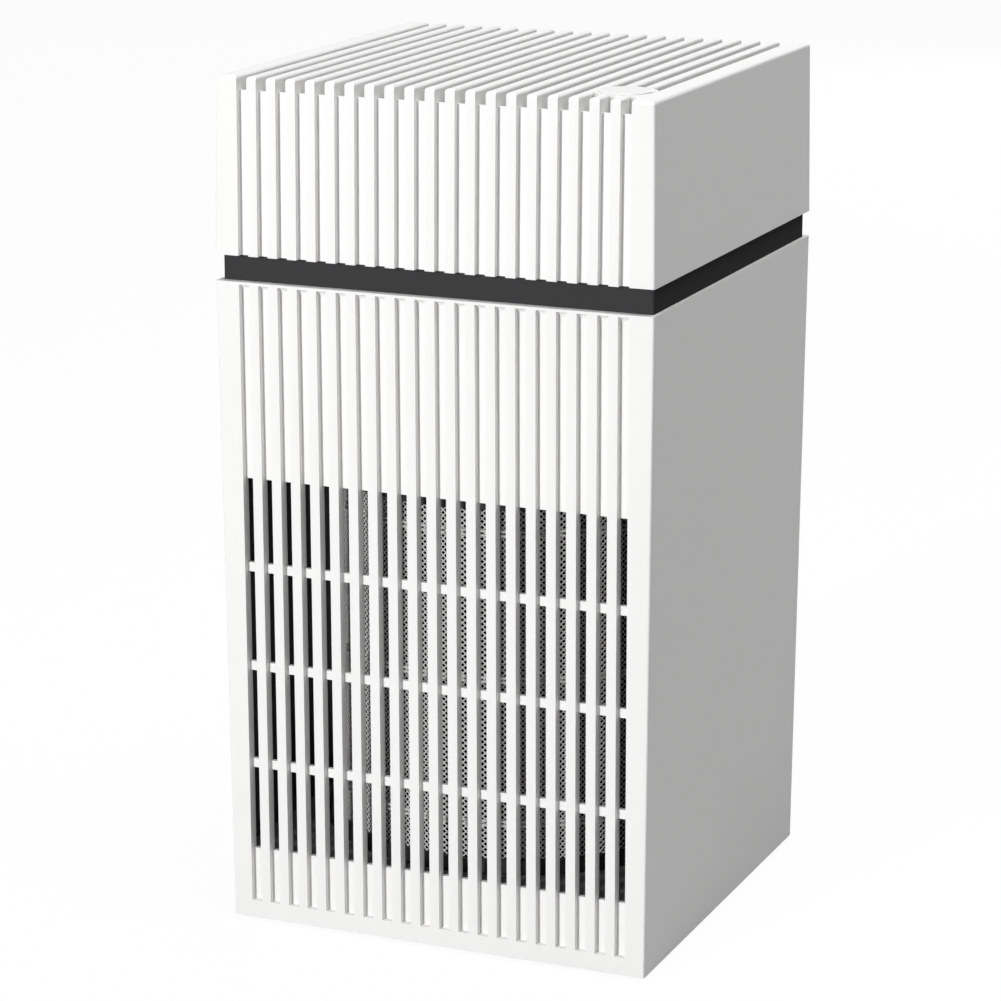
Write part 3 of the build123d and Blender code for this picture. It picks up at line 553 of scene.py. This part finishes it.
floor_shape = bmesh.new()
bmesh.ops.create_grid(floor_shape, x_segments=1, y_segments=1, size=floor_half)
floor_mesh = bpy.data.meshes.new("floor")
floor_shape.to_mesh(floor_mesh)
floor_shape.free()
floor_paper, floor_output = new_material("pale_paper")
floor_shown = shown_rays(floor_paper)
floor_share = add_node(
    floor_paper, "ShaderNodeMath", {"operation": "MULTIPLY"}, {0: floor_shown, 1: floor_white}
)
floor_tint = add_node(
    floor_paper,
    "ShaderNodeMix",
    {"data_type": "RGBA"},
    {"Factor": floor_shown, "A": hex_colour(floor_grey), "B": plain_white},
)
floor_diffuse = add_node(floor_paper, "ShaderNodeBsdfDiffuse", {}, {"Color": floor_tint.outputs["Result"]})
floor_glow = add_node(floor_paper, "ShaderNodeEmission", {}, {"Color": plain_white, "Strength": 1.0})
floor_mix = add_node(
    floor_paper,
    "ShaderNodeMixShader",
    {},
    {0: floor_share.outputs["Value"], 1: floor_diffuse.outputs["BSDF"], 2: floor_glow.outputs["Emission"]},
)
floor_paper.node_tree.links.new(floor_mix.outputs["Shader"], floor_output.inputs["Surface"])
floor_mesh.materials.append(floor_paper)
floor = bpy.data.objects.new("floor", floor_mesh)
bpy.context.scene.collection.objects.link(floor)

# Studio light: a tall soft box at the front left, a large panel overhead, a weaker soft box behind,
# and an even dim surround that the camera and shiny surfaces see as white.
surround_light = 0.15
lamp_aim = Vector((0, 0, 0.2))
scene = bpy.context.scene
scene.view_settings.view_transform = "Standard"
surround = bpy.data.worlds.new("surround")
surround.use_nodes = True
surround.node_tree.nodes.clear()
surround_output = add_node(surround, "ShaderNodeOutputWorld", {}, {})
surround_strength = add_node(
    surround,
    "ShaderNodeMapRange",
    {},
    {"Value": shown_rays(surround), "To Min": surround_light, "To Max": 1.0},
)
surround_glow = add_node(
    surround,
    "ShaderNodeBackground",
    {},
    {"Color": plain_white, "Strength": surround_strength.outputs["Result"]},
)
surround.node_tree.links.new(surround_glow.outputs["Background"], surround_output.inputs["Surface"])
scene.world = surround


def add_lamp(name, azimuth_deg, elevation_deg, distance, width, height, power):
    """A soft box, placed by its angles seen from the object and turned to it."""
    turn, lift = radians(azimuth_deg), radians(elevation_deg)
    direction = Vector((sin(turn) * cos(lift), -cos(turn) * cos(lift), sin(lift)))
    lamp_data = bpy.data.lights.new(name, "AREA")
    lamp_data.shape = "RECTANGLE"
    lamp_data.size = width
    lamp_data.size_y = height
    lamp_data.energy = power
    lamp = bpy.data.objects.new(name, lamp_data)
    scene.collection.objects.link(lamp)
    lamp.location = lamp_aim + direction * distance
    lamp.rotation_euler = direction.to_track_quat("Z", "Y").to_euler()


add_lamp("key", azimuth_deg=-15, elevation_deg=12, distance=3.0, width=0.3, height=1.4, power=68)
add_lamp("overhead", azimuth_deg=90, elevation_deg=78, distance=2.0, width=1.6, height=1.6, power=33)
add_lamp("back", azimuth_deg=180, elevation_deg=8, distance=3.0, width=0.4, height=1.0, power=24)

# Camera: at the photograph's place. Its lens, angles, distance and aim were fitted to corners and
# edges of the object in the photograph.
focal_px = 3601.3
frame_px = 1001
sensor_mm = 36
camera_azimuth = radians(23.05)
camera_elevation = radians(14.67)
camera_distance = 1655.6 * MM
aim_right = -9.80 * MM
aim_up = -10.6 * MM
aim_height = 194.5 * MM
camera_flat = cos(camera_elevation)
back = Vector((sin(camera_azimuth) * camera_flat, -cos(camera_azimuth) * camera_flat, sin(camera_elevation)))
right = Vector((cos(camera_azimuth), sin(camera_azimuth), 0))
up = back.cross(right)
camera_data = bpy.data.cameras.new("camera")
camera_data.sensor_width = sensor_mm
camera_data.lens = focal_px / frame_px * sensor_mm
camera = bpy.data.objects.new("camera", camera_data)
scene.collection.objects.link(camera)
camera_aim = Vector((0, 0, aim_height)) + right * aim_right + up * aim_up
camera_turn = Matrix((right, up, back)).transposed().to_4x4()
camera.matrix_world = Matrix.Translation(camera_aim + back * camera_distance) @ camera_turn
scene.camera = camera
